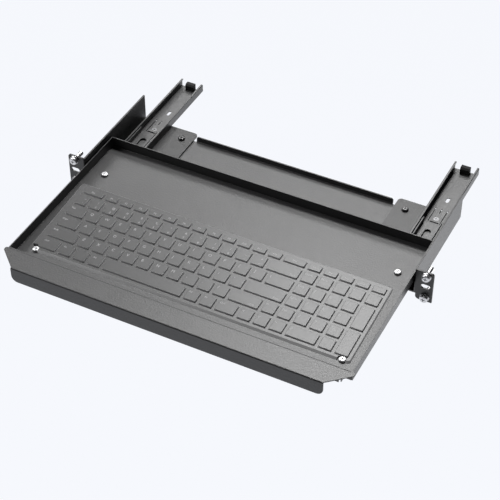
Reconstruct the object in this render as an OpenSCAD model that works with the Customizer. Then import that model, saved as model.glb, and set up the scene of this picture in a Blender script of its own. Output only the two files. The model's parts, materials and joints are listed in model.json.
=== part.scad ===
// Keyboard drawer for a 19 inch rack, shown pulled out of the rack.
// X runs to the right as seen from the front, Y runs back into the rack, Z is up.
// The origin is the middle of the rack screw pattern, on the back face of the ears.

/* [Rack front] */
// Distance between the left and right columns of rack holes
rack_pitch = 465.1; // [455:0.1:475]
// Distance between the upper and lower screw of one ear
screw_pitch = 31.75; // [30:0.05:32.5]
// Distance from a column of rack holes out to the ear's edge
ear_reach = 8.75; // [8:0.05:10]
// Height of an ear
panel_h = 43.7; // [42:0.1:45]
// Width of each slot in an ear
slot_w = 6.6; // [6.4:0.1:7]
// Length of each slot in an ear
slot_l = 12; // [9:0.5:12.5]
// Length of a rack screw behind the ear
rack_screw_l = 14; // [10:1:20]

/* [Side brackets] */
// Distance from a column of rack holes in to the bracket wall's outer face
wall_inset = 12.55; // [11.5:0.05:14]
// Sheet thickness of the brackets
bracket_t = 2; // [1.5:0.1:2]
// Depth of a bracket behind the ears
bracket_d = 146; // [140:1:170]
// Depth of the flange's underside below the rack pattern's middle
bracket_drop = 16.5; // [16.2:0.1:17]
// Reach of the bottom flange in from the wall's outer face
flange_w = 80; // [70:1:90]
// Outer radius of the brackets' bends
bracket_bend_r = 2.5; // [2.2:0.1:3]
// Radius of the flange's free corners
flange_corner_r = 5; // [3:0.5:8]

/* [Cross plate] */
// Sheet thickness of the cross plate
cross_t = 1.5; // [1:0.1:1.5]
// Distance from the cross plate's front edge to the ears
cross_front = 30; // [20:1:60]
// Distance from the cross plate's rear face to the brackets' rear edge
cross_setback = 10; // [8:1:20]
// Height of the cross plate's rear lip above the plate's underside
cross_lip_h = 8.6; // [6:0.2:10]
// Overlap of the cross plate under each bracket flange
cross_overlap = 30; // [26:1:36]
// Distance from a cross plate screw to the flange's free edge
cross_screw_in = 15; // [12:1:18]

/* [Slides] */
// Overall width of a slide
slide_w = 32.4; // [31:0.2:34]
// Height of a slide's outer channel
slide_h = 11; // [10.6:0.1:11.4]
// Sheet thickness of the slide members
slide_t = 1.2; // [1:0.05:1.2]
// Distance from the bracket wall's inner face to the middle of a slide
slide_inset = 22.7; // [21:0.1:25]
// Length of a slide when it is shut
slide_l = 230; // [224:1:240]
// Radius of the balls between the outer and the middle member
outer_ball_r = 1.5; // [1.45:0.05:1.55]
// Radius of the balls between the middle and the inner member
inner_ball_r = 1.2; // [1.15:0.05:1.25]
// Balls in each row of an outer cage
outer_balls = 5; // [4:1:5]
// Balls in each row of an inner cage
inner_balls = 7; // [5:1:7]
// How far the drawer is pulled out in the drawn pose
pull_out = 168; // [155:1:168]

/* [Tray] */
// Gap between the tray's side wall and the bracket's wall
tray_side_gap = 1; // [0.8:0.1:2]
// Depth of the tray over its front and rear walls
tray_d = 232.3; // [225:0.5:235]
// Height of the tray's walls over its underside
tray_h = 14.6; // [12:0.2:18]
// Sheet thickness of the tray
tray_t = 1.2; // [1:0.1:1.5]
// Outer radius of the tray's bends
tray_bend_r = 1.7; // [1.6:0.1:2.4]
// Reach of the level lip in front of the tray's front wall
lip_d = 28.7; // [24:0.5:34]
// Height of the pull flange at the lip's front edge
pull_h = 19.5; // [16:0.5:20]
// Distance from the tray's side face in to the pull flange's end
pull_inset = 21.5; // [15:0.5:30]
// Reach of the lip's end beyond the tray's side wall
lip_over = 2.9; // [0.5:0.1:3]
// Radius of the pull flange's lower corners
pull_corner_r = 8; // [4:0.5:9]

/* [Keyboard] */
// Gap between the keyboard and the tray's side walls, as the mean of both sides
keyboard_side_gap = 13.05; // [11:0.05:14]
// Depth of the keyboard
keyboard_d = 118; // [117.5:0.5:126]
// Thickness of the keyboard from its underside to its deck
deck_h = 5; // [5:0.1:6]
// Slope of the keyboard up to the rear, in degrees
keyboard_tilt = 3.95; // [3:0.05:4.5]
// Distance between the keyboard's front edge and the tray's front wall
keyboard_front = 19.9; // [18:0.1:24]
// Distance of the keyboard's middle to the right of the tray's middle
keyboard_shift = 1.75; // [0:0.25:3]
// Radius of the keyboard's corners
keyboard_corner_r = 3; // [2:0.5:4]

/* [Keys] */
// Distance from the keyboard's left end to the keys' first place
key_left_margin = 6.4; // [6.2:0.1:9]
// Distance from the keys' last place to the keyboard's right end
key_right_margin = 1.92; // [1.9:0.02:4]
// Distance from the keyboard's front edge to the front row's keys
key_front_margin = 3.75; // [3.5:0.05:5]
// Distance from the rear row's keys to the keyboard's rear edge
key_rear_margin = 5.65; // [5.5:0.05:8]
// Gap between the keys of one row
key_gap_x = 4.3; // [3.4:0.1:5]
// Gap between one row and the next
key_gap_y = 4.5; // [3.8:0.1:5]
// Depth of the keys in the rearmost row
short_key_d = 8.9; // [8:0.1:9.5]
// Height of a key's top over the deck
key_rise = 1.9; // [1.7:0.1:3]
// Distance a key travels when it is pressed
key_travel = 1.2; // [0.8:0.1:1.2]

/* [Hidden] */
$fn = 48;
eps = 0.01;

// Clearances
fit_gap = 0.05;        // between a screw's thread and its hole
ball_gap = 0.1;        // between a ball and the groove or pocket that it runs in
slide_gap = 0.5;       // between pieces that pass each other in a slide
key_gap = 0.35;        // between a key and the deck's opening
stop_gap = 0.5;        // between a shut slide's member and the rear bumper

// Rack ears and bracket walls
ear_back_y = 0;
ear_front_y = ear_back_y - bracket_t;
rack_hole_x = rack_pitch / 2;
ear_edge_x = rack_hole_x + ear_reach;
wall_x = rack_hole_x - wall_inset;
wall_in_x = wall_x - bracket_t;
flange_under_z = -bracket_drop;
flange_top_z = flange_under_z + bracket_t;
flange_edge_x = wall_x - flange_w;
bend_in_r = bracket_bend_r - bracket_t;
ear_corner_r = 3;
ear_relief_r = 4.5;
ear_relief = 1;        // the ear's lower part starts this far outside the wall

// Cross plate
cross_top_z = flange_under_z;
cross_under_z = cross_top_z - cross_t;
cross_rear_y = bracket_d - cross_setback;
cross_half_w = flange_edge_x + cross_overlap;
cross_lip_gap = 3.7;   // between the lip's end and the flange's free edge
cross_lip_half_w = flange_edge_x - cross_lip_gap;
cross_lip_corner_r = 3;
cross_screw_x = flange_edge_x + cross_screw_in;
cross_screw_rear_y = cross_rear_y - 8;
cross_screw_front_y = cross_front + 15;

// Screws and nuts
m4_r = 2;
m4_head_r = 4.4;
m4_head_h = 2.7;
m4_nut_flats = 7;
m4_nut_h = 3.2;
m4_flat_head_r = 3.3;
m6_r = 3;
m6_neck_r = 2.7;
m6_head_r = 5;
m6_head_h = 3.4;
recess_l = 4.6;
recess_w = 1;
recess_d = 1.5;

// Cup washers under the rack screws
cup_r = 5.9;
cup_top_r = 5.3;
cup_rim_h = 0.6;
cup_h = 2;

// Slides, measured out from each slide's middle and up from the flange it lies on
slide_x = wall_in_x - slide_inset;
slide_z = flange_top_z;
outer_half_w = slide_w / 2;
outer_in = outer_half_w - slide_t;
outer_floor_z = slide_z + slide_t;
outer_top_z = slide_z + slide_h;
outer_lip_w = 2.6;
ball_row_gap = 2 * outer_ball_r - 0.2;
middle_half_w = outer_in - ball_row_gap;
middle_in = middle_half_w - slide_t;
inner_row_gap = 2 * inner_ball_r - 0.2;
inner_half_w = middle_in - inner_row_gap;
inner_in = inner_half_w - slide_t;
cage_t = 0.6;
cage_web_t = 0.5;
middle_web_z = outer_floor_z + 2 * slide_gap - 0.2 + cage_web_t;
middle_web_top_z = middle_web_z + slide_t;
middle_top_z = outer_top_z - 0.6;
inner_cage_z = middle_web_top_z + slide_gap;
tray_under_z = outer_top_z + 2.3;
inner_web_z = tray_under_z - slide_t;
inner_foot_z = inner_cage_z + cage_web_t + slide_gap;
outer_ball_z = slide_z + 5.6;
inner_ball_z = slide_z + 8.3;
outer_ball_x = outer_half_w - slide_t - ball_row_gap / 2;
inner_ball_x = middle_in - inner_row_gap / 2;
slide_front_y = 1;
slide_rear_y = slide_front_y + slide_l;
slide_floor_rear_y = slide_rear_y - 1.2;
bumper_d = 7;
bumper_w = 12;
bumper_h = 9;
bumper_peg_r = 2;
bumper_front_y = slide_floor_rear_y - bumper_d - 0.3;
inner_rear_y = bumper_front_y - stop_gap - pull_out;
middle_share = 0.5;    // the middle members move this share of the drawer's travel
middle_short = 31.5;    // the middle members are this much shorter than a slide
middle_front_y = -middle_share * pull_out + 0.5;
middle_rear_y = middle_front_y + slide_l - middle_short;
outer_cage_in = 19;     // from the outer member's front end to its cage
outer_cage_end = 33;    // from the outer cage to the middle member's rear end
outer_cage_y = slide_front_y + outer_cage_in;
outer_cage_l = middle_rear_y - outer_cage_end - outer_cage_y;
inner_cage_in = 22.5;   // from the middle member's front end to its cage
inner_cage_end = 25;    // from the inner cage to the inner member's rear end
inner_cage_y = middle_front_y + inner_cage_in;
inner_cage_l = inner_rear_y - inner_cage_end - inner_cage_y;
outer_pitch = outer_cage_l / outer_balls;
inner_pitch = inner_cage_l / inner_balls;
slide_screw_rear_y = cross_screw_rear_y;
slide_screw_front_y = 20;
mount_slot_l = 9.5;
mount_slot_w = 4.2;
mount_slot_out = 20.8;  // from the bracket's rear edge to the middle of the free slot
mount_slot_y = bracket_d + mount_slot_out;
lance_w = 1.2;
lance_half_x = 7.6;
lance_front_y = slide_screw_rear_y - 8;
lance_rear_y = bracket_d + 2;
lance_cross_w = 2;
lance_tab_l = 9;
window_half_w = 4;
window_l = 45;
window_end = 11.5;
tab_half_w = 5.4;
tab_drop = 10.3;
collar_r = 3.4;
collar_h = 2.4;

// Tray
tray_half_w = wall_in_x - tray_side_gap;
tray_floor_z = tray_under_z + tray_t;
tray_top_z = tray_under_z + tray_h;
tray_in_r = tray_bend_r - tray_t;
tray_front_y = -pull_out - 2.9;
tray_rear_y = tray_front_y + tray_d;
lip_front_y = tray_front_y - lip_d;
lip_half_w = tray_half_w + lip_over;
lip_tip_r = 2;
pull_half_w = tray_half_w - pull_inset;
tray_screw_in = 22.4;
tray_screw_pitch = 154;
tray_screw_front_y = tray_front_y + tray_screw_in;
tray_screw_rear_y = tray_screw_front_y + tray_screw_pitch;

// Keyboard, measured from the middle of its front edge, along its slope and up from its underside
kb_front_y = tray_front_y + keyboard_front;
kb_half_w = tray_half_w - tray_t - keyboard_side_gap;
kb_base_t = 0.5;
kb_film_t = 0.2;
kb_film_gap = 0.5;
kb_wall_t = 1.2;
kb_seam_z = 2.2;
kb_rim_t = 0.5;
kb_rim_h = 1;
deck_t = 1.2;
deck_under_z = deck_h - deck_t;
relief_r = m4_head_r + 0.6;
relief_y = (tray_screw_front_y - kb_front_y) * cos(keyboard_tilt);
relief_side = 0.8;     // depth of the left relief's side opening as a share of its radius
dome_r = 2.5;
dome_h = 0.3;
foot_in = 52.75;       // from the keyboard's end to the middle of a foot
foot_x = kb_half_w - foot_in;
foot_w = 34;
foot_d = 12;
foot_rear_gap = 9;     // from the feet to the keyboard's rear edge

// Keys: each row lists the widths of its keys in key places
function one(n) = [for (i = [1:n]) 1];
function_row = concat([1.55], one(12), [1.55]);
number_row = concat([0.93], one(12), [2.17]);
upper_row = concat([1.35], one(12), [1.75]);
home_row = concat([1.53], one(11), [2.57]);
lower_row = concat([2.02], one(10), [2.08, 1]);
bottom_row = concat([1.35], one(3), [5.35], one(2), [1.4], one(3));
row_widths = [function_row, number_row, upper_row, home_row, lower_row, bottom_row];
last_row = len(row_widths) - 1;
function sum_to(w, i) = i <= 0 ? 0 : w[i - 1] + sum_to(w, i - 1);
navigation_place = sum_to(number_row, len(number_row));
keypad_place = navigation_place + 1;
keypad_end_place = keypad_place + 3;
key_left_x = -kb_half_w + key_left_margin;
key_right_x = kb_half_w - key_right_margin;
key_pitch_x = (key_right_x - key_left_x) / (keypad_end_place + 1);
key_rear_y = keyboard_d - key_rear_margin;
key_pitch_y = (key_rear_y - short_key_d - key_front_margin) / last_row;
key_top_z = deck_h + key_rise;
key_foot_gap = 0.3;
key_foot_t = 0.8;
key_foot_over = 0.7;
key_foot_top_z = deck_under_z - key_foot_gap;
key_foot_z = key_foot_top_z - key_foot_t;
key_corner = 1;
key_pocket_r = relief_r + kb_wall_t + key_gap;
key_pocket_z = deck_under_z + key_travel + key_gap;
// One key is [first place, width in places, row, rows that it covers]
function row_keys(row, first, last) =
    [for (i = [first:last]) [sum_to(row_widths[row], i), row_widths[row][i], row, 1]];
function place_keys(row, first, last) = [for (p = [first:last]) [p, 1, row, 1]];

escape_set = row_keys(0, 0, 0);
function_set = row_keys(0, 1, 13);
navigation_set = [for (r = [0:4]) [navigation_place, 1, r, 1]];
keypad_top_set = place_keys(0, keypad_place, keypad_end_place);
number_set = row_keys(1, 0, 12);
backspace_set = row_keys(1, 13, 13);
keypad_operator_set = place_keys(1, keypad_place, keypad_end_place);
tab_set = row_keys(2, 0, 0);
upper_letter_set = row_keys(2, 1, 12);
backslash_set = row_keys(2, 13, 13);
keypad_upper_set = place_keys(2, keypad_place, keypad_end_place - 1);
keypad_plus_set = [[keypad_end_place, 1, 3, 2]];
caps_lock_set = row_keys(3, 0, 0);
home_letter_set = row_keys(3, 1, 11);
enter_set = row_keys(3, 12, 12);
keypad_middle_set = place_keys(3, keypad_place, keypad_end_place - 1);
left_shift_set = row_keys(4, 0, 0);
lower_letter_set = row_keys(4, 1, 10);
right_shift_set = row_keys(4, 11, 11);
arrow_set = concat(row_keys(4, 12, 12), row_keys(5, 8, 10));
keypad_lower_set = place_keys(4, keypad_place, keypad_end_place - 1);
keypad_enter_set = [[keypad_end_place, 1, 5, 2]];
left_control_set = row_keys(5, 0, 0);
bottom_left_set = row_keys(5, 1, 3);
space_set = row_keys(5, 4, 4);
bottom_right_set = row_keys(5, 5, 7);
keypad_zero_set = [[keypad_place, 2, 5, 1]];
keypad_point_set = place_keys(5, keypad_end_place - 1, keypad_end_place - 1);
all_keys = concat(
    escape_set, function_set, navigation_set, keypad_top_set, number_set, backspace_set,
    keypad_operator_set, tab_set, upper_letter_set, backslash_set, keypad_upper_set,
    keypad_plus_set, caps_lock_set, home_letter_set, enter_set, keypad_middle_set,
    left_shift_set, lower_letter_set, right_shift_set, arrow_set, keypad_lower_set,
    keypad_enter_set, left_control_set, bottom_left_set, space_set, bottom_right_set,
    keypad_zero_set, keypad_point_set);

function key_x(k) = key_left_x + k[0] * key_pitch_x + key_gap_x / 2;
function key_w(k) = k[1] * key_pitch_x - key_gap_x;
function key_y(k) = key_front_margin + (last_row - k[2]) * key_pitch_y;
function key_d(k) =
    k[2] == 0 ? short_key_d : k[3] * key_pitch_y - key_gap_y;

// Colours
powder_grey = [0.42, 0.42, 0.43];
powder_dark = [0.13, 0.13, 0.14];
slide_black = [0.2, 0.2, 0.21];
zinc = [0.78, 0.79, 0.8];
rubber_black = [0.06, 0.06, 0.06];
film_clear = [0.7, 0.75, 0.72];

// Shared shapes

// Pushes an outline drawn in X and Z from y0 to y1
module along_y(y0, y1) {
    translate([0, y1, 0])
        rotate([90, 0, 0])
            linear_extrude(y1 - y0)
                children();
}

// Pushes an outline drawn in Y and Z from x0 to x1
module along_x(x0, x1) {
    translate([x0, 0, 0])
        rotate([90, 0, 90])
            linear_extrude(x1 - x0)
                children();
}

// A rectangle from one corner to the opposite one
module span(a, b) {
    translate(a)
        square(b - a);
}

// A rectangle whose corners named by the signs in corners are round
module rounded_span(a, b, r, corners = [[-1, -1], [1, -1], [1, 1], [-1, 1]]) {
    middle = (a + b) / 2;
    half = (b - a) / 2;
    difference() {
        span(a, b);
        for (c = corners)
            translate(middle + [c[0] * (half[0] - r), c[1] * (half[1] - r)])
                difference() {
                    span([min(0, c[0] * (r + 1)), min(0, c[1] * (r + 1))],
                         [max(0, c[0] * (r + 1)), max(0, c[1] * (r + 1))]);
                    circle(r);
                }
    }
}

// A quarter of a bend round a centre, in the quarter named by the signs in way
module quarter_bend(centre, way, outer_r, inner_r) {
    translate(centre)
        intersection() {
            difference() {
                circle(outer_r);
                circle(inner_r);
            }
            span([min(0, way[0] * outer_r), min(0, way[1] * outer_r)],
                 [max(0, way[0] * outer_r), max(0, way[1] * outer_r)]);
        }
}

// A slot along the first axis
module slot(length, width) {
    run = (length - width) / 2;
    square([2 * run, width], center = true);
    for (s = [-1, 1])
        translate([s * run, 0])
            circle(width / 2);
}

// The left-hand copy of a right-hand piece
module on_side(side) {
    mirror([side < 0 ? 1 : 0, 0, 0])
        children();
}

// Moves a piece drawn round X = 0 to the middle of the right-hand slide
module at_slide() {
    translate([slide_x, 0, 0])
        children();
}

// A crossed recess cut down from the height top
module cross_recess(top, length = recess_l, width = recess_w, depth = recess_d) {
    for (turn = [0, 90])
        rotate(turn)
            translate([-length / 2, -width / 2, top - depth])
                cube([length, width, depth + 1]);
}

// A pan head screw, standing with its seat at Z = 0, with a narrow neck where neck_l isn't 0
module pan_screw(r, head_r, head_h, length, neck_r = 0, neck_l = 0) {
    edge = head_h * 0.45;
    neck = neck_l > 0 ? [[r, -neck_l], [neck_r, -neck_l], [neck_r, 0]] : [[r, 0]];
    difference() {
        rotate_extrude()
            polygon(concat(
                [[0, -length], [r - 0.4, -length], [r, -length + 0.4]],
                neck,
                [[head_r, 0], [head_r, head_h - edge],
                 [head_r - edge * 0.4, head_h - edge * 0.35],
                 [head_r - edge * 1.3, head_h], [0, head_h]]));
        cross_recess(head_h);
    }
}

// A flat head screw, standing with the top of its head at Z = 0
module flat_screw(r, head_r, head_h, length) {
    difference() {
        rotate_extrude()
            polygon([[0, -length], [r, -length], [r, -head_h], [head_r, 0], [0, 0]]);
        cross_recess(0, recess_l * 0.8, recess_w * 0.8, 0.6);
    }
}

// A hexagon nut lying on Z = 0
module hex_nut(flats, height, hole_r) {
    difference() {
        cylinder(r = flats / sqrt(3), h = height, $fn = 6);
        translate([0, 0, -1])
            cylinder(r = hole_r, h = height + 2);
    }
}

// Places that repeat
module at_rack_screws() {
    for (sx = [-1, 1], sz = [-1, 1])
        translate([sx * rack_hole_x, ear_front_y, sz * screw_pitch / 2])
            rotate([90, 0, 0])
                children();
}

module at_cross_screws() {
    for (sx = [-1, 1], y = [cross_screw_front_y, cross_screw_rear_y])
        translate([sx * cross_screw_x, y, 0])
            children();
}

module at_slide_screws() {
    for (sx = [-1, 1], y = [slide_screw_front_y, slide_screw_rear_y])
        translate([sx * slide_x, y, 0])
            children();
}

module at_tray_screws() {
    for (sx = [-1, 1], y = [tray_screw_front_y, tray_screw_rear_y])
        translate([sx * slide_x, y, 0])
            children();
}

// Side brackets

module ear_outline() {
    half_h = panel_h / 2;
    difference() {
        union() {
            rounded_span([wall_x + bend_in_r, flange_top_z + bend_in_r], [ear_edge_x, half_h],
                         ear_corner_r, [[1, 1]]);
            rounded_span([wall_x + ear_relief, -half_h], [ear_edge_x, 0],
                         ear_relief_r, [[-1, -1]]);
        }
        for (row = [-1, 0, 1])
            translate([rack_hole_x, row * screw_pitch / 2])
                slot(slot_l, slot_w);
    }
}

module bracket(side) {
    color(powder_dark)
        on_side(side)
            difference() {
                union() {
                    along_y(ear_front_y, ear_back_y)
                        ear_outline();
                    // the wall and its bend into the ear
                    translate([0, 0, flange_top_z + bend_in_r])
                        linear_extrude(panel_h / 2 - flange_top_z - bend_in_r) {
                            span([wall_in_x, bend_in_r], [wall_x, bracket_d]);
                            quarter_bend([wall_x + bend_in_r, ear_back_y + bend_in_r], [-1, -1],
                                         bracket_bend_r, bend_in_r);
                        }
                    // the bend into the bottom flange
                    along_y(ear_back_y + bend_in_r, bracket_d)
                        quarter_bend([wall_in_x - bend_in_r, flange_top_z + bend_in_r], [1, -1],
                                     bracket_bend_r, bend_in_r);
                    translate([0, 0, flange_under_z])
                        linear_extrude(bracket_t)
                            rounded_span([flange_edge_x, ear_back_y + bend_in_r],
                                         [wall_in_x - bend_in_r, bracket_d],
                                         flange_corner_r, [[-1, -1], [-1, 1]]);
                }
                for (y = [cross_screw_front_y, cross_screw_rear_y])
                    translate([cross_screw_x, y, flange_under_z - 1])
                        cylinder(r = m4_r + fit_gap, h = bracket_t + 2);
                for (y = [slide_screw_front_y, slide_screw_rear_y])
                    translate([slide_x, y, flange_under_z - 1])
                        cylinder(r = m4_r + fit_gap, h = bracket_t + 2);
            }
}

module rack_screws() {
    color(zinc)
        at_rack_screws()
            translate([0, 0, cup_h])
                pan_screw(m6_r, m6_head_r, m6_head_h, rack_screw_l + bracket_t + cup_h,
                          m6_neck_r, bracket_t + cup_h);
}

module cup_washers() {
    color(zinc)
        at_rack_screws()
            rotate_extrude()
                polygon([
                    [m6_r + fit_gap, 0], [cup_r, 0], [cup_r, cup_rim_h], [cup_top_r, cup_h],
                    [m6_r + fit_gap, cup_h]
                ]);
}

// Cross plate between the brackets

module cross_plate() {
    color(powder_grey)
        difference() {
            union() {
                translate([0, 0, cross_under_z])
                    linear_extrude(cross_t)
                        span([-cross_half_w, cross_front],
                             [cross_half_w, cross_rear_y - bracket_bend_r]);
                along_x(-cross_lip_half_w, cross_lip_half_w) {
                    span([cross_rear_y - bracket_bend_r - eps, cross_under_z],
                         [cross_rear_y - bracket_bend_r, cross_top_z]);
                    quarter_bend([cross_rear_y - bracket_bend_r, cross_under_z + bracket_bend_r],
                                 [1, -1], bracket_bend_r, bracket_bend_r - cross_t);
                }
                along_y(cross_rear_y - cross_t, cross_rear_y)
                    rounded_span([-cross_lip_half_w, cross_under_z + bracket_bend_r],
                                 [cross_lip_half_w, cross_under_z + cross_lip_h],
                                 cross_lip_corner_r, [[-1, 1], [1, 1]]);
            }
            at_cross_screws()
                translate([0, 0, cross_under_z - 1])
                    cylinder(r = m4_r + fit_gap, h = cross_t + 2);
        }
}

module cross_plate_screws() {
    reach = flange_top_z - cross_under_z + m4_nut_h;
    color(powder_grey)
        at_cross_screws()
            translate([0, 0, flange_top_z])
                pan_screw(m4_r, m4_head_r, m4_head_h, reach);
}

module cross_plate_nuts() {
    color(zinc)
        at_cross_screws()
            translate([0, 0, cross_under_z - m4_nut_h])
                hex_nut(m4_nut_flats, m4_nut_h, m4_r + fit_gap);
}

// Slides

module outer_floor_cuts() {
    translate([0, mount_slot_y])
        rotate(90)
            slot(mount_slot_l, mount_slot_w);
    for (s = [-1, 1])
        span([s * lance_half_x - lance_w / 2, lance_front_y],
             [s * lance_half_x + lance_w / 2, lance_rear_y]);
    span([-lance_half_x + 2, lance_front_y], [lance_half_x - 2, lance_front_y + lance_cross_w]);
    span([-lance_w / 2, lance_rear_y - lance_tab_l], [lance_w / 2, lance_rear_y]);
}

module ball_groove(x, z, r, y0, y1) {
    along_y(y0 - 1, y1 + 1)
        translate([x, z])
            circle(r + ball_gap);
}

module slide_outer(side) {
    color(slide_black)
        on_side(side)
            at_slide()
                difference() {
                    union() {
                        along_y(slide_front_y, slide_floor_rear_y)
                            span([-outer_half_w + 1, slide_z], [outer_half_w - 1, outer_floor_z]);
                        for (s = [-1, 1])
                            along_y(slide_front_y, slide_rear_y)
                                mirror([s < 0 ? 1 : 0, 0]) {
                                    rounded_span([outer_in, slide_z], [outer_half_w, outer_top_z],
                                                 slide_t * 0.8, [[1, -1], [1, 1]]);
                                    span([outer_half_w - outer_lip_w, outer_top_z - slide_t],
                                         [outer_in + eps, outer_top_z]);
                                }
                    }
                    for (s = [-1, 1])
                        ball_groove(s * outer_ball_x, outer_ball_z, outer_ball_r,
                                    slide_front_y, slide_rear_y);
                    translate([0, 0, slide_z - 1])
                        linear_extrude(slide_t + 2)
                            outer_floor_cuts();
                    for (y = [slide_screw_front_y, slide_screw_rear_y])
                        translate([0, y, slide_z])
                            cylinder(r1 = m4_r + fit_gap, r2 = m4_flat_head_r + fit_gap,
                                     h = slide_t);
                    translate([0, bumper_front_y + bumper_d / 2, slide_z - 1])
                        cylinder(r = bumper_peg_r + fit_gap, h = slide_t + 2);
                }
}

module slide_screws() {
    color(zinc)
        at_slide_screws()
            translate([0, 0, outer_floor_z])
                flat_screw(m4_r, m4_flat_head_r, slide_t, slide_t + bracket_t + m4_nut_h);
}

module slide_nuts() {
    color(zinc)
        at_slide_screws()
            translate([0, 0, flange_under_z - m4_nut_h])
                hex_nut(m4_nut_flats, m4_nut_h, m4_r + fit_gap);
}

module slide_bumpers() {
    slope = 2;
    color(rubber_black)
        for (side = [-1, 1])
            on_side(side)
                at_slide()
                    union() {
                        along_x(-bumper_w / 2, bumper_w / 2)
                            polygon([
                                [bumper_front_y, outer_floor_z],
                                [bumper_front_y + bumper_d, outer_floor_z],
                                [bumper_front_y + bumper_d, outer_floor_z + bumper_h],
                                [bumper_front_y + slope, outer_floor_z + bumper_h],
                                [bumper_front_y, outer_floor_z + bumper_h - slope]
                            ]);
                        translate([0, bumper_front_y + bumper_d / 2, slide_z])
                            cylinder(r = bumper_peg_r, h = slide_t + 1);
                    }
}

module slide_middle(side) {
    color(slide_black)
        on_side(side)
            at_slide()
                difference() {
                    union() {
                        along_y(middle_front_y, middle_rear_y)
                            span([-middle_half_w + 1, middle_web_z],
                                 [middle_half_w - 1, middle_web_top_z]);
                        for (s = [-1, 1])
                            along_y(middle_front_y, middle_rear_y)
                                mirror([s < 0 ? 1 : 0, 0])
                                    rounded_span([middle_in, middle_web_z],
                                                 [middle_half_w, middle_top_z],
                                                 slide_t * 0.8, [[1, -1]]);
                    }
                    for (s = [-1, 1]) {
                        ball_groove(s * outer_ball_x, outer_ball_z, outer_ball_r,
                                    middle_front_y, middle_rear_y);
                        ball_groove(s * inner_ball_x, inner_ball_z, inner_ball_r,
                                    middle_front_y, middle_rear_y);
                    }
                    translate([0, middle_rear_y - window_end - window_l / 2, middle_web_z - 1])
                        linear_extrude(slide_t + 2)
                            rotate(90)
                                slot(window_l, 2 * window_half_w);
                }
}

module slide_inner(side) {
    color(slide_black)
        on_side(side)
            at_slide()
                difference() {
                    union() {
                        along_y(tray_front_y + tray_t, inner_rear_y)
                            span([-inner_half_w + 1, inner_web_z],
                                 [inner_half_w - 1, tray_under_z]);
                        for (s = [-1, 1])
                            along_y(tray_front_y + tray_t, inner_rear_y)
                                mirror([s < 0 ? 1 : 0, 0])
                                    rounded_span([inner_in, inner_foot_z],
                                                 [inner_half_w, tray_under_z],
                                                 slide_t * 0.8, [[1, 1]]);
                        along_y(tray_front_y + tray_t, tray_front_y + tray_t + slide_t)
                            span([-tab_half_w, tray_under_z - tab_drop],
                                 [tab_half_w, tray_under_z]);
                        for (y = [tray_screw_front_y, tray_screw_rear_y])
                            translate([0, y, inner_web_z - collar_h])
                                cylinder(r = collar_r, h = collar_h + slide_t / 2);
                    }
                    for (s = [-1, 1])
                        ball_groove(s * inner_ball_x, inner_ball_z, inner_ball_r,
                                    tray_front_y, inner_rear_y);
                    for (y = [tray_screw_front_y, tray_screw_rear_y])
                        translate([0, y, inner_web_z - collar_h - 1])
                            cylinder(r = m4_r + fit_gap, h = collar_h + slide_t + 2);
                }
}

// A ball cage: two strips joined by a web, with a round pocket for each ball
module cage(side, x, z0, z1, ball_z, ball_r, y0, length, balls) {
    pitch = length / balls;
    color(zinc)
        on_side(side)
            at_slide()
                difference() {
                    union() {
                        for (s = [-1, 1])
                            along_y(y0, y0 + length)
                                span([s * x - cage_t / 2, z0], [s * x + cage_t / 2, z1]);
                        along_y(y0, y0 + length)
                            span([-x, z0], [x, z0 + cage_web_t]);
                    }
                    for (i = [0:balls - 1])
                        translate([-x - 1, y0 + (i + 0.5) * pitch, ball_z])
                            rotate([0, 90, 0])
                                cylinder(r = ball_r + ball_gap, h = 2 * x + 2);
                }
}

module outer_cage(side) {
    cage(side, outer_ball_x, outer_floor_z + slide_gap - 0.1, outer_ball_z + outer_ball_r + 1,
         outer_ball_z, outer_ball_r, outer_cage_y, outer_cage_l, outer_balls);
}

module inner_cage(side) {
    cage(side, inner_ball_x, inner_cage_z, inner_ball_z + inner_ball_r + 0.7,
         inner_ball_z, inner_ball_r, inner_cage_y, inner_cage_l, inner_balls);
}

module ball_rows(side, x, z, r, y0, pitch, balls) {
    color(zinc)
        on_side(side)
            at_slide()
                for (s = [-1, 1], i = [0:balls - 1])
                    translate([s * x, y0 + (i + 0.5) * pitch, z])
                        sphere(r);
}

module outer_ball_rows(side) {
    ball_rows(side, outer_ball_x, outer_ball_z, outer_ball_r, outer_cage_y, outer_pitch,
              outer_balls);
}

module inner_ball_rows(side) {
    ball_rows(side, inner_ball_x, inner_ball_z, inner_ball_r, inner_cage_y, inner_pitch,
              inner_balls);
}

// Tray

module lip_outline() {
    chamfer_y = tray_front_y - lip_tip_r - 3;
    difference() {
        polygon([
            [-lip_half_w, tray_front_y], [lip_half_w, tray_front_y],
            [lip_half_w, chamfer_y], [pull_half_w, lip_front_y + tray_bend_r],
            [-pull_half_w, lip_front_y + tray_bend_r], [-lip_half_w, chamfer_y]
        ]);
        for (s = [-1, 1])
            translate([s * (lip_half_w - lip_tip_r), tray_front_y - lip_tip_r])
                difference() {
                    span([min(0, s * (lip_tip_r + 1)), 0], [max(0, s * (lip_tip_r + 1)), lip_tip_r + 1]);
                    circle(lip_tip_r);
                }
    }
}

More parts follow.
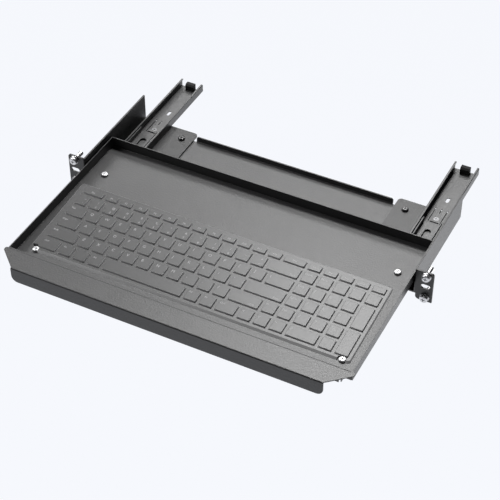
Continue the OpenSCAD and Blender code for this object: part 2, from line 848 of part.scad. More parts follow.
module tray() {
    bend_z = tray_under_z + tray_bend_r;
    color(powder_grey)
        difference() {
            union() {
                // floor and side walls
                along_y(tray_front_y + tray_bend_r, tray_rear_y - tray_bend_r) {
                    span([-tray_half_w + tray_bend_r, tray_under_z],
                         [tray_half_w - tray_bend_r, tray_floor_z]);
                    for (s = [-1, 1])
                        quarter_bend([s * (tray_half_w - tray_bend_r), bend_z], [s, -1],
                                     tray_bend_r, tray_in_r);
                }
                for (s = [-1, 1])
                    along_y(tray_front_y + tray_t - eps, tray_rear_y - tray_t + eps)
                        span([s * (tray_half_w - tray_t / 2) - tray_t / 2, bend_z],
                             [s * (tray_half_w - tray_t / 2) + tray_t / 2, tray_top_z]);
                // rear wall
                along_x(-tray_half_w + tray_bend_r, tray_half_w - tray_bend_r)
                    quarter_bend([tray_rear_y - tray_bend_r, bend_z], [1, -1],
                                 tray_bend_r, tray_in_r);
                along_x(-tray_half_w, tray_half_w)
                    span([tray_rear_y - tray_t, bend_z], [tray_rear_y, tray_top_z]);
                // front wall
                along_x(-tray_half_w + tray_bend_r, tray_half_w - tray_bend_r)
                    quarter_bend([tray_front_y + tray_bend_r, bend_z], [-1, -1],
                                 tray_bend_r, tray_in_r);
                along_x(-tray_half_w, tray_half_w)
                    span([tray_front_y, bend_z], [tray_front_y + tray_t, tray_top_z]);
                // level lip and pull flange
                translate([0, 0, tray_top_z - tray_t])
                    linear_extrude(tray_t)
                        lip_outline();
                along_x(-pull_half_w, pull_half_w)
                    quarter_bend([lip_front_y + tray_bend_r, tray_top_z - tray_bend_r], [-1, 1],
                                 tray_bend_r, tray_in_r);
                along_y(lip_front_y, lip_front_y + tray_t)
                    rounded_span([-pull_half_w, tray_top_z - pull_h],
                                 [pull_half_w, tray_top_z - tray_bend_r],
                                 pull_corner_r, [[-1, -1], [1, -1]]);
            }
            at_tray_screws()
                translate([0, 0, tray_under_z - 1])
                    cylinder(r = m4_r + fit_gap, h = tray_t + 2);
        }
}

module tray_screws() {
    color(zinc)
        at_tray_screws()
            translate([0, 0, tray_floor_z])
                pan_screw(m4_r, m4_head_r, m4_head_h, tray_t + slide_t + collar_h);
}

// Keyboard

// Lays a piece of the keyboard on the tray's floor, sloping up to the rear
module on_keyboard() {
    translate([keyboard_shift, kb_front_y, tray_floor_z])
        rotate([keyboard_tilt, 0, 0])
            children();
}

// The keyboard's outline, drawn in by inset, with its reliefs for the tray's front screws
module keyboard_outline(inset) {
    reach = relief_r + inset;
    difference() {
        rounded_span([-kb_half_w + inset, inset], [kb_half_w - inset, keyboard_d - inset],
                     keyboard_corner_r - inset);
        for (s = [-1, 1])
            translate([s * slide_x - keyboard_shift, relief_y]) {
                circle(reach);
                span([-reach, -relief_y - 1], [reach, 0]);
            }
        // the left relief also opens to the side
        translate([-slide_x - keyboard_shift, relief_y])
            span([-reach - kb_half_w, -relief_y - 1], [0, relief_side * reach]);
    }
}

module keyboard_base() {
    color(powder_grey)
        on_keyboard()
            difference() {
                union() {
                    linear_extrude(kb_seam_z)
                        keyboard_outline(0);
                    linear_extrude(kb_seam_z + kb_rim_h)
                        keyboard_outline(kb_wall_t - kb_rim_t);
                }
                translate([0, 0, kb_base_t])
                    linear_extrude(deck_h)
                        keyboard_outline(kb_wall_t);
            }
}

module keyboard_deck() {
    rim_gap = 0.05;
    color(powder_grey)
        on_keyboard()
            difference() {
                translate([0, 0, kb_seam_z])
                    linear_extrude(deck_h - kb_seam_z)
                        keyboard_outline(0);
                translate([0, 0, kb_seam_z - 1])
                    linear_extrude(kb_rim_h + rim_gap + 1)
                        keyboard_outline(kb_wall_t - kb_rim_t - rim_gap);
                translate([0, 0, kb_seam_z - 1])
                    linear_extrude(deck_under_z - kb_seam_z + 1)
                        keyboard_outline(kb_wall_t);
                translate([0, 0, deck_under_z - 1])
                    linear_extrude(deck_t + 2)
                        for (k = all_keys)
                            span([key_x(k) - key_gap, key_y(k) - key_gap],
                                 [key_x(k) + key_w(k) + key_gap, key_y(k) + key_d(k) + key_gap]);
            }
}

module keyboard_feet() {
    rear = keyboard_d - foot_rear_gap;
    front = rear - foot_d;
    color(rubber_black)
        on_keyboard()
            for (s = [-1, 1])
                along_x(s * foot_x - foot_w / 2, s * foot_x + foot_w / 2)
                    polygon([
                        [front, 0], [rear, 0], [rear, -rear * tan(keyboard_tilt)],
                        [front, -front * tan(keyboard_tilt)]
                    ]);
}

module circuit_sheet() {
    color(film_clear)
        on_keyboard()
            translate([0, 0, kb_base_t])
                linear_extrude(kb_film_t)
                    keyboard_outline(kb_wall_t + kb_film_gap);
}

module dome_sheet() {
    sheet_z = kb_base_t + kb_film_t;
    color(film_clear)
        on_keyboard() {
            translate([0, 0, sheet_z])
                linear_extrude(kb_film_t)
                    keyboard_outline(kb_wall_t + kb_film_gap);
            for (k = all_keys)
                translate([key_x(k) + key_w(k) / 2, key_y(k) + key_d(k) / 2, sheet_z])
                    cylinder(r = dome_r, h = kb_film_t + dome_h);
        }
}

// Keys

module key_outline(w, d, over) {
    c = key_corner;
    translate([-over, -over])
        polygon([
            [c, 0], [w + 2 * over - c, 0], [w + 2 * over, c], [w + 2 * over, d + 2 * over - c],
            [w + 2 * over - c, d + 2 * over], [c, d + 2 * over], [0, d + 2 * over - c], [0, c]
        ]);
}

// One key: its cap, and the foot that holds it under the deck
module key(k) {
    w = key_w(k);
    d = key_d(k);
    translate([key_x(k), key_y(k), key_foot_z]) {
        linear_extrude(key_foot_t)
            key_outline(w, d, key_foot_over);
        linear_extrude(key_top_z - key_foot_z)
            key_outline(w, d, 0);
    }
}

module keys(set) {
    color(powder_grey)
        on_keyboard()
            for (k = set)
                key(k);
}

// The two corner keys are hollowed from below over the tray's front screws
module corner_key(set) {
    color(powder_grey)
        on_keyboard()
            difference() {
                key(set[0]);
                for (s = [-1, 1])
                    translate([s * slide_x - keyboard_shift, relief_y, key_foot_z - 1])
                        cylinder(r = key_pocket_r, h = key_pocket_z - key_foot_z + 1);
            }
}

bracket(-1);  // bracket_left
bracket(1);  // bracket_right
cross_plate();
cross_plate_screws();
cross_plate_nuts();
slide_outer(-1);  // slide_outer_left
slide_outer(1);  // slide_outer_right
slide_bumpers();
slide_screws();
slide_nuts();
rack_screws();
cup_washers();
slide_middle(-1);  // slide_middle_left
slide_middle(1);  // slide_middle_right
outer_cage(-1);  // outer_cage_left
outer_cage(1);  // outer_cage_right
inner_cage(-1);  // inner_cage_left
inner_cage(1);  // inner_cage_right
outer_ball_rows(-1);  // outer_balls_left
outer_ball_rows(1);  // outer_balls_right
inner_ball_rows(-1);  // inner_balls_left
inner_ball_rows(1);  // inner_balls_right
slide_inner(-1);  // slide_inner_left
slide_inner(1);  // slide_inner_right
tray();
tray_screws();
keyboard_base();
keyboard_deck();
keyboard_feet();
circuit_sheet();
dome_sheet();
keys(escape_set);  // escape_key
keys(function_set);  // function_keys
keys(navigation_set);  // navigation_keys
keys(keypad_top_set);  // keypad_top_keys
keys(number_set);  // number_row_keys
keys(backspace_set);  // backspace_key
keys(keypad_operator_set);  // keypad_operator_keys
keys(tab_set);  // tab_key
keys(upper_letter_set);  // upper_letter_keys
keys(backslash_set);  // backslash_key
keys(keypad_upper_set);  // keypad_upper_keys
keys(keypad_plus_set);  // keypad_plus_key
keys(caps_lock_set);  // caps_lock_key
keys(home_letter_set);  // home_letter_keys
keys(enter_set);  // enter_key
keys(keypad_middle_set);  // keypad_middle_keys
keys(left_shift_set);  // left_shift_key
keys(lower_letter_set);  // lower_letter_keys
keys(right_shift_set);  // right_shift_key
keys(arrow_set);  // arrow_keys
keys(keypad_lower_set);  // keypad_lower_keys
corner_key(keypad_enter_set);  // keypad_enter_key
corner_key(left_control_set);  // left_control_key
keys(bottom_left_set);  // bottom_left_keys
keys(space_set);  // space_bar
keys(bottom_right_set);  // bottom_right_keys
keys(keypad_zero_set);  // keypad_zero_key
keys(keypad_point_set);  // keypad_point_key
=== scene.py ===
"""Looks, light and camera for a rack keyboard drawer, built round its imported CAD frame."""
import json
import math

import bmesh
import bpy
import numpy as np
from mathutils import Matrix, Vector

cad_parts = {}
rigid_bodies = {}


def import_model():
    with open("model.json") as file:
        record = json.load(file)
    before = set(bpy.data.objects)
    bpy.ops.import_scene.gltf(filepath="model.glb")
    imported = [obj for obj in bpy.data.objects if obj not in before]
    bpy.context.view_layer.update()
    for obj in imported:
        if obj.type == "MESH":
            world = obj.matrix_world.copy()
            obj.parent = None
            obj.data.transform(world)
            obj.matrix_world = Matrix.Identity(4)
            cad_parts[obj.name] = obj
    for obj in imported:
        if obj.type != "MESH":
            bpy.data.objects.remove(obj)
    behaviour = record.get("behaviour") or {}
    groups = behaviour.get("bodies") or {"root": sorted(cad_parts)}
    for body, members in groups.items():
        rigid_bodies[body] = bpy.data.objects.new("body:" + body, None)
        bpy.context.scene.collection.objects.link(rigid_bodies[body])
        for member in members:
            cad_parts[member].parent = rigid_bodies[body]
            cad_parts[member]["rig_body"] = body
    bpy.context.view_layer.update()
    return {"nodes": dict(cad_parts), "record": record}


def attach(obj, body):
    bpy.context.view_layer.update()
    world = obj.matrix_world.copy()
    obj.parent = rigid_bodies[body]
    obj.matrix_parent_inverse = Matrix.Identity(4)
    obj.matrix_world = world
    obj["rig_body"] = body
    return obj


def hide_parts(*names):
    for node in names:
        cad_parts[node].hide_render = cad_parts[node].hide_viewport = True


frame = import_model()

NODES = frame["nodes"]
BODY_OF = {n: o["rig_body"] for n, o in NODES.items()}
SLOT_OF = {s["node"]: s["material_slot"] for s in frame["record"]["subparts"]}
MM = 0.001


def add_object(name, data):
    obj = bpy.data.objects.new(name, data)
    bpy.context.scene.collection.objects.link(obj)
    return obj


# ---- camera, fitted to the photograph's straight edges ----
CAMERA_AT = Vector((0.5955, -1.1575, 1.1419))
AZIMUTH, ELEVATION = math.radians(26.887), math.radians(42.249)
LENS_MM, SENSOR_MM = 105.06, 36

look = Vector((-math.sin(AZIMUTH) * math.cos(ELEVATION),
               math.cos(AZIMUTH) * math.cos(ELEVATION),
               -math.sin(ELEVATION)))
camera_data = bpy.data.cameras.new("camera")
camera_data.lens = LENS_MM
camera_data.sensor_width = SENSOR_MM
camera_data.sensor_fit = "HORIZONTAL"
camera_data.clip_start, camera_data.clip_end = 0.05, 60
camera = add_object("camera", camera_data)
camera.location = CAMERA_AT
camera.rotation_euler = look.to_track_quat("-Z", "Y").to_euler()
bpy.context.scene.camera = camera


# ---- materials ----
class Graph:
    """A material's node tree with short calls for the nodes used here."""

    def __init__(self, name, specular=0.5):
        self.material = bpy.data.materials.new(name)
        self.material.use_nodes = True
        self.tree = self.material.node_tree
        self.shader = self.tree.nodes["Principled BSDF"]
        self.shader.inputs["Specular IOR Level"].default_value = specular
        self.coords = self.add("ShaderNodeTexCoord").outputs["Object"]

    def add(self, kind, **values):
        node = self.tree.nodes.new(kind)
        for key, value in values.items():
            setattr(node, key, value)
        return node

    def link(self, a, b):
        self.tree.links.new(a, b)

    def noise(self, scale, detail=3.0, roughness=0.55, stretch=None):
        node = self.add("ShaderNodeTexNoise")
        node.inputs["Scale"].default_value = scale
        node.inputs["Detail"].default_value = detail
        node.inputs["Roughness"].default_value = roughness
        source = self.coords
        if stretch:
            place = self.add("ShaderNodeMapping")
            place.inputs["Scale"].default_value = stretch
            self.link(source, place.inputs["Vector"])
            source = place.outputs["Vector"]
        self.link(source, node.inputs["Vector"])
        return node.outputs["Fac"]

    def math(self, operation, a, b):
        node = self.add("ShaderNodeMath", operation=operation)
        for socket, value in zip(node.inputs, (a, b)):
            if isinstance(value, (int, float)):
                socket.default_value = value
            else:
                self.link(value, socket)
        return node.outputs[0]

    def weigh(self, a, weight_a, b, weight_b):
        return self.math("ADD", self.math("MULTIPLY", a, weight_a),
                         self.math("MULTIPLY", b, weight_b))

    def colour(self, factor, stops):
        """The base colour, from a ramp of (factor, colour) stops."""
        node = self.add("ShaderNodeValToRGB")
        ramp = node.color_ramp
        while len(ramp.elements) < len(stops):
            ramp.elements.new(0.5)
        for element, (at, colour) in zip(ramp.elements, stops):
            element.position = at
            element.color = (*colour, 1)
        self.link(factor, node.inputs["Fac"])
        self.link(node.outputs["Color"], self.shader.inputs["Base Color"])

    def cloudy(self, factor, colour, dark, light):
        """The base colour, with the factor's lows and highs shaded by these shares."""
        self.colour(factor, [(0.3, shade(colour, dark)), (0.5, colour),
                             (0.7, shade(colour, light))])

    def roughness(self, factor, low, high):
        """The roughness, from low to high over the middle of the factor's range."""
        node = self.add("ShaderNodeMapRange")
        for socket, value in (("From Min", 0.3), ("From Max", 0.7), ("To Min", low),
                              ("To Max", high)):
            node.inputs[socket].default_value = value
        self.link(factor, node.inputs["Value"])
        self.link(node.outputs["Result"], self.shader.inputs["Roughness"])

    def bump(self, height, strength, distance, edge):
        """Bump from a height, over edges that the light sees rounded by edge metres."""
        node = self.add("ShaderNodeBump")
        node.inputs["Strength"].default_value = strength
        node.inputs["Distance"].default_value = distance
        self.link(height, node.inputs["Height"])
        if edge:
            soft = self.add("ShaderNodeBevel", samples=4)
            soft.inputs["Radius"].default_value = edge
            self.link(soft.outputs["Normal"], node.inputs["Normal"])
        self.link(node.outputs["Normal"], self.shader.inputs["Normal"])


def shade(colour, factor):
    return tuple(c * factor for c in colour)


def powder_coat(name, colour, roughness, specular, edge=0.4 * MM, grain=1500.0):
    """Baked powder paint on sheet steel: fine grain over a faint cloudiness."""
    g = Graph(name, specular)
    cloud = g.noise(14.0, 4.0)
    fine = g.noise(grain, 2.0, 0.6)
    speck = g.noise(grain * 2.3, 1.0)
    mottle = g.noise(grain * 0.3, 2.0)
    g.cloudy(g.weigh(cloud, 0.45, fine, 0.55), colour, 0.80, 1.22)
    g.roughness(fine, roughness - 0.06, roughness + 0.07)
    g.bump(g.math("ADD", fine, g.weigh(speck, 0.4, mottle, 3.0)), 0.5, 0.12 * MM, edge)
    return g.material


def coated_steel(name, colour, roughness, specular):
    """Thin black dip coat on rolled strip, with the strip's length running along Y."""
    g = Graph(name, specular)
    streak = g.noise(160.0, 4.0, 0.6, stretch=(6.0, 0.35, 6.0))
    spot = g.noise(420.0, 2.0)
    mixed = g.weigh(streak, 0.6, spot, 0.4)
    g.cloudy(mixed, colour, 0.72, 1.35)
    g.roughness(streak, roughness - 0.08, roughness + 0.1)
    g.bump(mixed, 0.2, 0.08 * MM, 0.3 * MM)
    return g.material


def plated_steel(name, colour, roughness):
    """Bright zinc plate with fine turning marks and a few dull patches."""
    g = Graph(name)
    g.shader.inputs["Metallic"].default_value = 1.0
    marks = g.noise(2200.0, 3.0, 0.6, stretch=(1.0, 1.0, 3.0))
    patch = g.noise(240.0, 3.0)
    g.colour(patch, [(0.3, shade(colour, 0.82)), (0.6, colour)])
    g.roughness(g.weigh(marks, 0.4, patch, 0.6), roughness - 0.06, roughness + 0.1)
    g.bump(marks, 0.04, 0.03 * MM, 0.2 * MM)
    return g.material


def moulded(name, colour, roughness, specular=0.5, edge=0.3 * MM):
    """Injection moulded plastic or rubber with a fine spark-eroded texture."""
    g = Graph(name, specular)
    fine = g.noise(1800.0, 2.0, 0.6)
    cloud = g.noise(22.0, 3.0)
    g.cloudy(g.weigh(fine, 0.6, cloud, 0.4), colour, 0.86, 1.14)
    g.roughness(fine, roughness - 0.05, roughness + 0.06)
    g.bump(fine, 0.2, 0.08 * MM, edge)
    return g.material


GREY = (0.05, 0.05, 0.051)
DARK = (0.03, 0.03, 0.031)
BLACK = (0.015, 0.015, 0.0155)
MATERIALS = {
    "tray_paint": powder_coat("tray_paint", GREY, 0.39, 0.72),
    "bracket_paint": powder_coat("bracket_paint", BLACK, 0.39, 0.66),
    "cross_paint": powder_coat("cross_paint", GREY, 0.39, 0.72),
    # darker paint for the bead along the lip's fold: painted shade
    "crease_painted_shade": powder_coat("crease_painted_shade", DARK, 0.6, 0.55, edge=0.0),
    "slide_steel": coated_steel("slide_steel", (0.06, 0.06, 0.061), 0.40, 0.85),
    "dark_screw": coated_steel("dark_screw", DARK, 0.16, 1.0),
    "slide_screw": plated_steel("slide_screw", (0.20, 0.20, 0.205), 0.3),
    "bright_screw": plated_steel("bright_screw", (0.74, 0.74, 0.75), 0.37),
    "zinc_nut": plated_steel("zinc_nut", (0.62, 0.63, 0.64), 0.34),
    "cage_steel": plated_steel("cage_steel", (0.55, 0.56, 0.57), 0.38),
    "ball_steel": plated_steel("ball_steel", (0.8, 0.8, 0.81), 0.12),
    "rubber": moulded("rubber", (0.02, 0.02, 0.02), 0.7, 0.3),
    "keyboard_shell": moulded("keyboard_shell", GREY, 0.40, 0.8),
    "key_plastic": moulded("key_plastic", GREY, 0.40, 0.8),
    # pale grey for the keys' front and right walls: painted light on faces that the lamps leave in
    # shade
    "key_side_painted_light": moulded("key_side_painted_light", (0.66, 0.66, 0.665), 0.5),
    # pale grey for the deck's rim: painted light for a lit front band and highlights along the
    # deck's edges
    "rim_painted_light": moulded("rim_painted_light", (0.36, 0.36, 0.364), 0.5),
    "film": moulded("film", (0.30, 0.34, 0.31), 0.3),
    "dome_rubber": moulded("dome_rubber", (0.45, 0.46, 0.46), 0.6),
    "legend": moulded("legend", (0.54, 0.54, 0.545), 0.6, edge=0.0),
}


def dress(obj, material):
    slots = obj.data.materials
    if not slots:
        slots.append(material)
    for i in range(len(slots)):
        slots[i] = material


for name, obj in NODES.items():
    dress(obj, MATERIALS[SLOT_OF[name]])
dress(NODES["slide_screws"], MATERIALS["slide_screw"])   # duller than the record's bright screws


# ---- keyboard ----
# The keyboard lies on a slope; keys are made flat in its own frame and laid back on the slope.
SLOPE = Matrix.Rotation(math.radians(3.95), 4, "X")
LEVEL = SLOPE.inverted()
KEY_RISE = 1.9 * MM          # from the deck to a key's top
SKIRT, SHORT_SKIRT = 4.2 * MM, 1.8 * MM
SCREW_KEYS = ("left_control_key", "keypad_enter_key")   # over the tray's front screws


def islands(obj):
    """The separate solids of a node, each as an array of its corner points on the level frame."""
    mesh = obj.data
    points = np.array([LEVEL @ v.co for v in mesh.vertices])
    keys, parent, index = {}, [], []
    for place in map(tuple, np.round(points, 6)):
        if place not in keys:
            keys[place] = len(parent)
            parent.append(keys[place])
        index.append(keys[place])

    def root(i):
        while parent[i] != i:
            parent[i] = parent[parent[i]]
            i = parent[i]
        return i

    for polygon in mesh.polygons:
        first = root(index[polygon.vertices[0]])
        for v in polygon.vertices[1:]:
            parent[root(index[v])] = first
    groups = {}
    for i, p in zip(index, points):
        groups.setdefault(root(i), []).append(p)
    return [np.array(g) for g in groups.values()]


def rounded_ring(x0, x1, y0, y1, radius, z, steps=5):
    """A closed ring of points round a rectangle with round corners."""
    ring = []
    for cx, cy, start in ((x1 - radius, y1 - radius, 0), (x0 + radius, y1 - radius, 90),
                          (x0 + radius, y0 + radius, 180), (x1 - radius, y0 + radius, 270)):
        for i in range(steps + 1):
            a = math.radians(start + 90 * i / steps)
            ring.append((cx + radius * math.cos(a), cy + radius * math.sin(a), z))
    return ring


def join_rings(bm, low, high):
    count = len(low)
    for i in range(count):
        j = (i + 1) % count
        bm.faces.new((low[i], low[j], high[j], high[i]))


def loft(bm, rings):
    """Joins rings of equal count into one closed skin."""
    rows = [[bm.verts.new(p) for p in ring] for ring in rings]
    for low, high in zip(rows, rows[1:]):
        join_rings(bm, low, high)
    bm.faces.new(list(reversed(rows[0])))
    bm.faces.new(rows[-1])


def key_cap(bm, x0, x1, y0, y1, top, foot):
    """One key: a skirt that dips into the deck, sloping sides, a rounded edge and a flat top."""
    flare, edge, edge_steps = 0.33 * MM, 0.3 * MM, 4
    deck = top - KEY_RISE

    def ring(out, z, radius=1.0 * MM):
        return rounded_ring(x0 - out, x1 + out, y0 - out, y1 + out, radius, z)

    rings = [ring(0, foot), ring(0, deck + 0.02 * MM)] if foot < deck else []
    rings.append(ring(flare, deck + 0.08 * MM))
    for i in range(edge_steps + 1):
        a = math.radians(90 * i / edge_steps)
        rings.append(ring(-edge * (1.8 - math.cos(a)), top - edge + edge * math.sin(a)))
    rings.append(ring(-2.3 * edge, top, 0.9 * MM))   # keeps the top's shading flat
    loft(bm, rings)


def float_on_light(obj):
    """The photograph's flat light: the keyboard leaves no shadow or reflection on the tray."""
    obj.visible_shadow = False
    obj.visible_glossy = False


def finish_mesh(bm, name, material, body, replaced=(), smooth=35, sides=None,
                on_keyboard=True, flat_light=False):
    """Makes a piece of the mesh: sides is a pale material for the walls that face front and right,
    painted light on faces that the lamps leave in shade.
    """
    mesh = bpy.data.meshes.new(name)
    bmesh.ops.recalc_face_normals(bm, faces=bm.faces)
    bm.to_mesh(mesh)
    bm.free()
    mesh.materials.append(material)
    if sides:
        mesh.materials.append(sides)
        for polygon in mesh.polygons:
            n = polygon.normal
            # only walls facing front or right get the pale sides: painted light where the lamps
            # leave shade
            polygon.material_index = int(abs(n.z) < 0.6 and (n.y < -0.4 or n.x > 0.4))
    if on_keyboard:
        mesh.transform(SLOPE)
    obj = add_object(name, mesh)
    if flat_light:
        float_on_light(obj)
    if smooth:
        mesh.polygons.foreach_set("use_smooth", [True] * len(mesh.polygons))
        mesh.set_sharp_from_angle(angle=math.radians(smooth))
    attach(obj, body)
    if replaced:
        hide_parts(*replaced)
    return obj


KEY_BOXES = {}
for name in [n for n in NODES if SLOT_OF[n] == "key_plastic"]:
    bm = bmesh.new()
    boxes = []
    skirt = SHORT_SKIRT if name in SCREW_KEYS else SKIRT
    for points in islands(NODES[name]):
        top = points[:, 2].max()
        upper = points[points[:, 2] > top - 0.3 * MM]
        (x0, y0), (x1, y1) = upper[:, :2].min(0), upper[:, :2].max(0)
        key_cap(bm, x0, x1, y0, y1, top, top - skirt)
        boxes.append((x0, x1, y0, y1, top))
    boxes.sort(key=lambda b: (-round(b[2] / (4 * MM)), b[0]))
    KEY_BOXES[name] = boxes
    finish_mesh(bm, name + "_caps", MATERIALS["key_plastic"], BODY_OF[name],
                (name,), sides=MATERIALS["key_side_painted_light"], flat_light=True)

for name in ("keyboard_base", "keyboard_deck", "keyboard_feet", "circuit_sheet", "dome_sheet"):
    float_on_light(NODES[name])

# The deck's rim: a slope that runs down from the deck's edge, deep at the front and at the right,
# in a pale grey that is painted light: it stands in for a lit front band and for highlights along
# the edges.
# These sizes and places are in mm in the keyboard's frame, from the middle of its front edge.
KB_AT = LEVEL @ Vector((1.75 * MM, -151.0 * MM, 0))
KB_HALF_W, KB_D, DECK_TOP = 202.75, 118.0, 5.0
CORNER_R = 3.0
NOTCH_RIGHT, NOTCH_LEFT, NOTCH_R = 193.55, -197.05, 5.05   # the reliefs for the tray's screws
RIM_OUT = {"front": 2.84, "right": 1.2, "rear": 0.3, "left": 0.3}
RIM_IN, RIM_START = -0.12, 0.03
RIM_FALL, RIM_UNDERCUT = 0.577, 1.527


def rim_sweep(bm, path):
    """Sweeps the rim's section along (x, y, outward x, outward y) places of the keyboard's edge."""
    rows = []
    for x, y, nx, ny in path:
        side = RIM_OUT["right"] if nx > 0 else RIM_OUT["left"]
        end = RIM_OUT["rear"] if ny > 0 else RIM_OUT["front"]
        out = side * nx * nx + end * ny * ny
        section = ((RIM_IN, DECK_TOP + 0.04), (RIM_START, DECK_TOP + 0.03),
                   (out, DECK_TOP - RIM_FALL * out), (RIM_START, DECK_TOP - RIM_UNDERCUT * out))
        rows.append([bm.verts.new(KB_AT + Vector((x + nx * a, y + ny * a, w)) * MM)
                     for a, w in section])
    for low, high in zip(rows, rows[1:]):
        join_rings(bm, low, high)
    bm.faces.new(rows[0])
    bm.faces.new(list(reversed(rows[-1])))


def rim_corner(cx, cy, start):
    turn = [math.radians(start + 15 * i) for i in range(7)]
    return [(cx + CORNER_R * math.cos(a), cy + CORNER_R * math.sin(a), math.cos(a), math.sin(a))
            for a in turn]


bm = bmesh.new()
rim_sweep(bm, [(NOTCH_LEFT + NOTCH_R, 0, 0, -1), (NOTCH_RIGHT - NOTCH_R, 0, 0, -1)])
corner_x, corner_y = KB_HALF_W - CORNER_R, KB_D - CORNER_R
path = [(NOTCH_RIGHT + NOTCH_R, 0, 0, -1)] + rim_corner(corner_x, CORNER_R, -90)
path += rim_corner(corner_x, corner_y, 0) + rim_corner(-corner_x, corner_y, 90)
path.append((-KB_HALF_W, CORNER_R + 1.5, -1, 0))
rim_sweep(bm, path)
finish_mesh(bm, "keyboard_rim", MATERIALS["rim_painted_light"], BODY_OF["keyboard_deck"],
            smooth=20, flat_light=True)

# The crease where the tray's front wall folds into the lip: a low bead with tapered ends, dark and
# rough, a painted shade line along the fold.
TRAY_TOP = max((NODES["tray"].matrix_world @ v.co).z for v in NODES["tray"].data.vertices)
CREASE_Y, CREASE_HALF_W, CREASE_HALF_H = -171.6 * MM, 0.5 * MM, 0.03 * MM
CREASE_END, CREASE_TAPER = 216.0 * MM, 0.5 * MM


def crease_ring(x, share):
    turn = [math.radians(30 * i) for i in range(12)]
    return [(x, CREASE_Y + share * CREASE_HALF_W * math.cos(a),
             TRAY_TOP + share * CREASE_HALF_H * math.sin(a)) for a in turn]


bm = bmesh.new()
crease_full = CREASE_END - CREASE_TAPER
loft(bm, [crease_ring(-CREASE_END, 0.3), crease_ring(-crease_full, 1.0),
          crease_ring(crease_full, 1.0), crease_ring(CREASE_END, 0.3)])
finish_mesh(bm, "lip_crease", MATERIALS["crease_painted_shade"], BODY_OF["tray"], smooth=0,
            on_keyboard=False)

# ---- legends ----
LEGENDS = {
    "escape_key": ["Esc"],
    "function_keys": ["F%d" % i for i in range(1, 13)] + ["Del"],
    "navigation_keys": ["Ins", "Home", "PgUp", "PgDn", "End"],
    "keypad_top_keys": ["Prt", "Scr", "Brk", "Clr"],
    "number_row_keys": list("`1234567890-="),
    "backspace_key": ["Back"],
    "keypad_operator_keys": ["Num", "/", "*", "-"],
    "tab_key": ["Tab"],
    "upper_letter_keys": list("QWERTYUIOP[]"),
    "backslash_key": ["\\"],
    "keypad_upper_keys": list("789"),
    "keypad_plus_key": ["+"],
    "caps_lock_key": ["Caps"],
    "home_letter_keys": list("ASDFGHJKL;'"),
    "enter_key": ["Enter"],
    "keypad_middle_keys": list("456"),
    "left_shift_key": ["Shift"],
    "lower_letter_keys": list("ZXCVBNM,./"),
    "right_shift_key": ["Shift"],
    "arrow_keys": ["^", "<", "v", ">"],
    "keypad_lower_keys": list("123"),
    "keypad_enter_key": ["Enter"],
    "left_control_key": ["Ctrl"],
    "bottom_left_keys": ["Fn", "", "Alt"],
    "bottom_right_keys": ["Alt", "Fn", "Ctrl"],
    "keypad_zero_key": ["0"],
    "keypad_point_key": ["."],
}
SHIFTED = dict(zip("`1234567890-=", "~!@#$%^&*()_+"))
LETTERED_RIGHT = ("backspace_key", "enter_key", "right_shift_key")
SIGN_SIZE, WORD_SIZE, PAIR_SIZE = 5.4 * MM, 3.6 * MM, 4.4 * MM
LETTER_WIDTH = 0.55          # a letter's mean width, as a share of its size
SHORT_KEY_DEPTH = 11 * MM    # a key less deep than this has its word in its middle
SIDE_MARGIN = 1.8 * MM


def letters(words):
    """Flat lettering as one mesh: each word is (text, size, x, y, z)."""
    bm = bmesh.new()
    for text, size, x, y, z in words:
        curve = bpy.data.curves.new("word", "FONT")
        curve.body = text
        curve.size = size
        curve.extrude = 0.01 * MM
        curve.resolution_u = 3
        holder = add_object("word", curve)
        bpy.context.view_layer.update()
        made = bpy.data.meshes.new_from_object(
            holder.evaluated_get(bpy.context.evaluated_depsgraph_get()))
        made.transform(Matrix.Translation((x, y, z)))
        bm.from_mesh(made)
        bpy.data.objects.remove(holder)
        bpy.data.curves.remove(curve)
        bpy.data.meshes.remove(made)
    return bm


def place_word(name, text, x0, x1, y0, y1):
    """The size, left and foot of a word on its key."""
    size = SIGN_SIZE if len(text) == 1 else WORD_SIZE
    width = LETTER_WIDTH * len(text) * size
    if name in LETTERED_RIGHT:
        return size, x1 - SIDE_MARGIN - width, y0 + 2.2 * MM
    if y1 - y0 < SHORT_KEY_DEPTH:
        return size, (x0 + x1 - width) / 2, (y0 + y1 - 0.7 * size) / 2
    return size, x0 + SIDE_MARGIN, y1 - 2.0 * MM - size * 0.75


for name, texts in LEGENDS.items():
    words = []
    for (x0, x1, y0, y1, top), text in zip(KEY_BOXES[name], texts):
        z = top + 0.012 * MM
        if name == "number_row_keys":
            left = x0 + 8.6 * MM
            words.append((text, PAIR_SIZE, left, y0 + 1.8 * MM, z))
            words.append((SHIFTED[text], PAIR_SIZE, left, y1 - 6.2 * MM, z))
        elif text:
            size, left, low = place_word(name, text, x0, x1, y0, y1)
            words.append((text, size, left, low, z))
    finish_mesh(letters(words), name + "_legends", MATERIALS["legend"], BODY_OF[name],
                smooth=0)


# ---- floor, world and lamps ----
BACKGROUND = (0.9387, 0.9559, 1.0)
FLOOR_Z, FLOOR_HALF = -1.0, 12.0
FLOOR_SHADE = 0.6    # the floor's own colour under the lamps, as a share of the background
FLOOR_GLOW = 0.97    # the background's share in what camera and reflections see of the floor


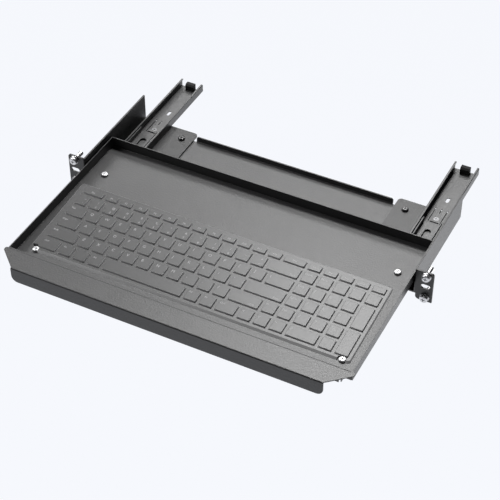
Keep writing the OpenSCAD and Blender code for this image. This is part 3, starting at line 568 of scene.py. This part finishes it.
def floor_material():
    """Shows the background to camera, glossy and transmission rays, and keeps a shadow."""
    g = Graph("studio_floor")
    g.shader.inputs["Base Color"].default_value = (*shade(BACKGROUND, FLOOR_SHADE), 1)
    g.shader.inputs["Roughness"].default_value = 0.9
    glow = g.add("ShaderNodeEmission")
    glow.inputs["Color"].default_value = (*BACKGROUND, 1)
    ray = g.add("ShaderNodeLightPath").outputs
    seen = g.math("MAXIMUM", ray["Is Camera Ray"],
                  g.math("MAXIMUM", ray["Is Glossy Ray"], ray["Is Transmission Ray"]))
    mix = g.add("ShaderNodeMixShader")
    g.link(g.math("MULTIPLY", seen, FLOOR_GLOW), mix.inputs["Fac"])
    g.link(g.shader.outputs["BSDF"], mix.inputs[1])
    g.link(glow.outputs["Emission"], mix.inputs[2])
    g.link(mix.outputs["Shader"], g.tree.nodes["Material Output"].inputs["Surface"])
    return g.material


mesh = bpy.data.meshes.new("studio_floor")
mesh.from_pydata([(x * FLOOR_HALF, y * FLOOR_HALF, FLOOR_Z)
                  for x, y in ((-1, -1), (1, -1), (1, 1), (-1, 1))], [], [(0, 1, 2, 3)])
mesh.materials.append(floor_material())
add_object("studio_floor", mesh)

world = bpy.data.worlds.new("studio")
bpy.context.scene.world = world
world.use_nodes = True
tree = world.node_tree
ambient = tree.nodes["Background"]
ambient.inputs["Color"].default_value = (0.96, 0.97, 1.0, 1)
ambient.inputs["Strength"].default_value = 0.03
seen_sky = tree.nodes.new("ShaderNodeBackground")
seen_sky.inputs["Color"].default_value = (*BACKGROUND, 1)
ray = tree.nodes.new("ShaderNodeLightPath")
mix = tree.nodes.new("ShaderNodeMixShader")
tree.links.new(ray.outputs["Is Camera Ray"], mix.inputs["Fac"])
tree.links.new(ambient.outputs["Background"], mix.inputs[1])
tree.links.new(seen_sky.outputs["Background"], mix.inputs[2])
tree.links.new(mix.outputs["Shader"], tree.nodes["World Output"].inputs["Surface"])

MIDDLE = Vector((0.0, -0.05, 0.0))   # what all lamps aim at
LAMP_DISTANCE = 2.0


def around(azimuth, elevation):
    """A lamp's place at this bearing from the rear and this height angle, seen from the middle."""
    a, e = math.radians(azimuth), math.radians(elevation)
    way = Vector((math.sin(a) * math.cos(e), math.cos(a) * math.cos(e), math.sin(e)))
    return MIDDLE + LAMP_DISTANCE * way


def softbox(name, at, size, watts):
    data = bpy.data.lights.new(name, "AREA")
    data.shape = "RECTANGLE"
    data.size, data.size_y = size
    data.energy = watts
    lamp = add_object(name, data)
    lamp.location = at
    lamp.rotation_euler = (MIDDLE - at).to_track_quat("-Z", "Y").to_euler()
    lamp.visible_camera = False


softbox("main", around(-15, 59), (0.50, 0.42), 22.0)
softbox("rear", around(-12, 38), (0.95, 0.36), 7.5)
softbox("rear_left", around(-41, 29), (0.75, 0.36), 4.2)
softbox("left", around(-90, 40), (1.0, 1.0), 18.5)
softbox("low_right", Vector((1.1, 0.75, -0.75)), (0.9, 0.9), 5.0)

bpy.context.scene.view_settings.view_transform = "Standard"
